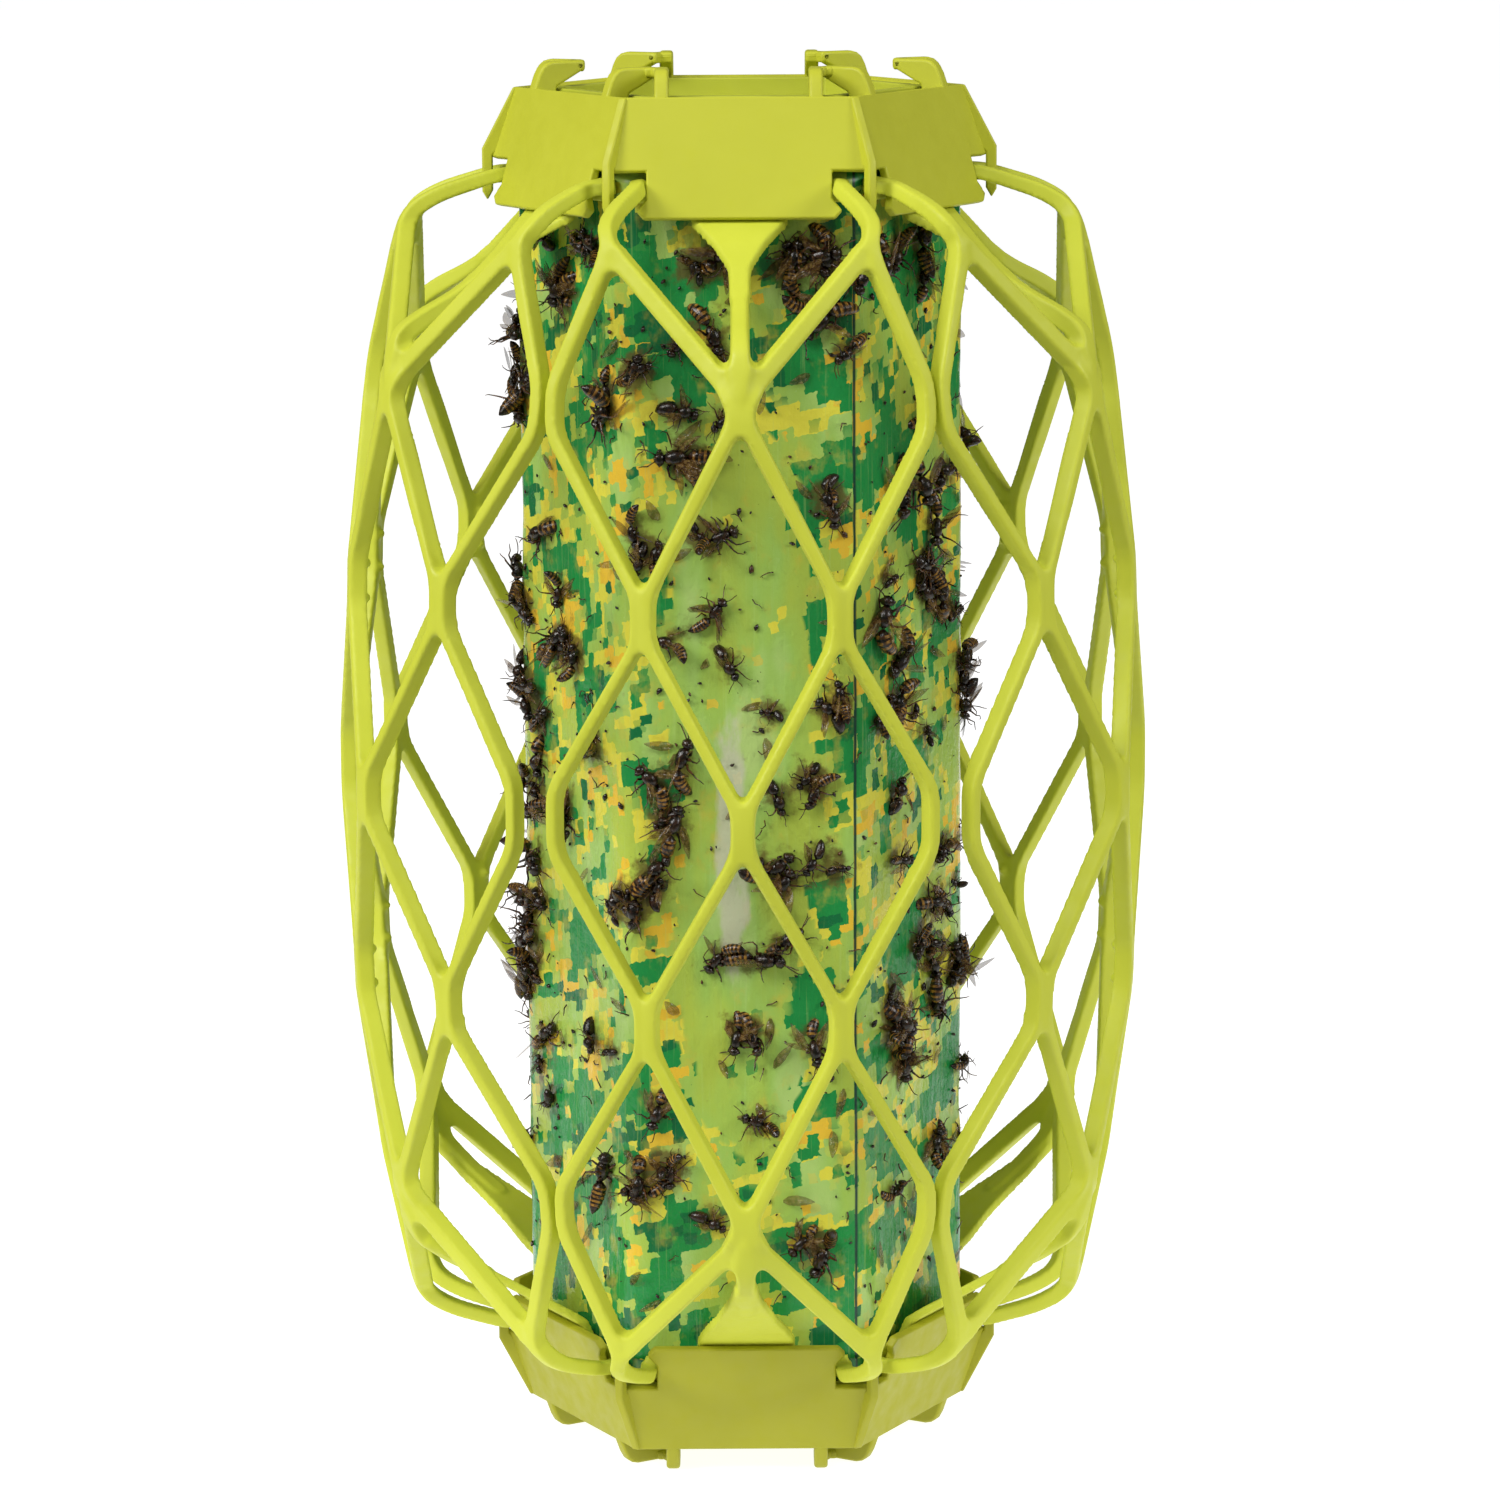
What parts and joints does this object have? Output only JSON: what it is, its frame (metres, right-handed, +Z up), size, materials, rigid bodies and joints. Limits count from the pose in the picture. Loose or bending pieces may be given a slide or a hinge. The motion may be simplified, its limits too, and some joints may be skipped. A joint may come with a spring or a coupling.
{
  "type": "pheromone insect trap",
  "caption": "Hanging orchard insect trap: a six-sided sticky core with a printed film inside a lime lattice bird guard between two flared collars.",
  "frame": {"origin": "centre of the lowest claw ends, on the surface that the trap stands on", "axes": "+Z up the core's axis; one guard panel faces -Y, and +X is to the right of it"},
  "size_m": [0.1602, 0.1698, 0.2756],
  "materials": {
    "lime_plastic": "satin moulded lime green plastic",
    "lime_shade": "satin moulded plastic, a little darker",
    "core_board": "pale moulded core, hidden by the film",
    "printed_film": "thin film printed with small blocks of green and yellow",
    "sticky_coating": "clear tacky glue over the print, with caught insects",
    "wire": "plain drawn steel wire",
    "lure_rubber": "moulded red rubber"
  },
  "bodies": {
    "root": {"core_tube": "core_board", "printed_film": "printed_film", "sticky_coating": "sticky_coating", "top_end_cap": "lime_shade", "bottom_end_cap": "lime_shade", "top_collar": "lime_plastic", "bottom_collar": "lime_plastic", "guard_panel_1": "lime_plastic", "guard_panel_2": "lime_plastic", "guard_panel_3": "lime_plastic", "guard_panel_4": "lime_plastic", "guard_panel_5": "lime_plastic", "guard_panel_6": "lime_plastic", "lure_cup": "lime_shade", "lure_septum": "lure_rubber"},
    "bail": {"hanger_bail": "wire"},
    "lid": {"lure_lid": "lime_shade"}
  },
  "joints": [
    {"name": "bail_fold", "type": "hinge", "parent": "root", "child": "bail", "pos_m": [0, 0, 0.2622], "axis": [-1, 0, 0], "range_deg": [0, 180]},
    {"name": "lid_twist", "type": "hinge", "parent": "root", "child": "lid", "pos_m": [0, 0, 0.2622], "axis": [0, 0, 1], "range_deg": [0, 60]}
  ]
}
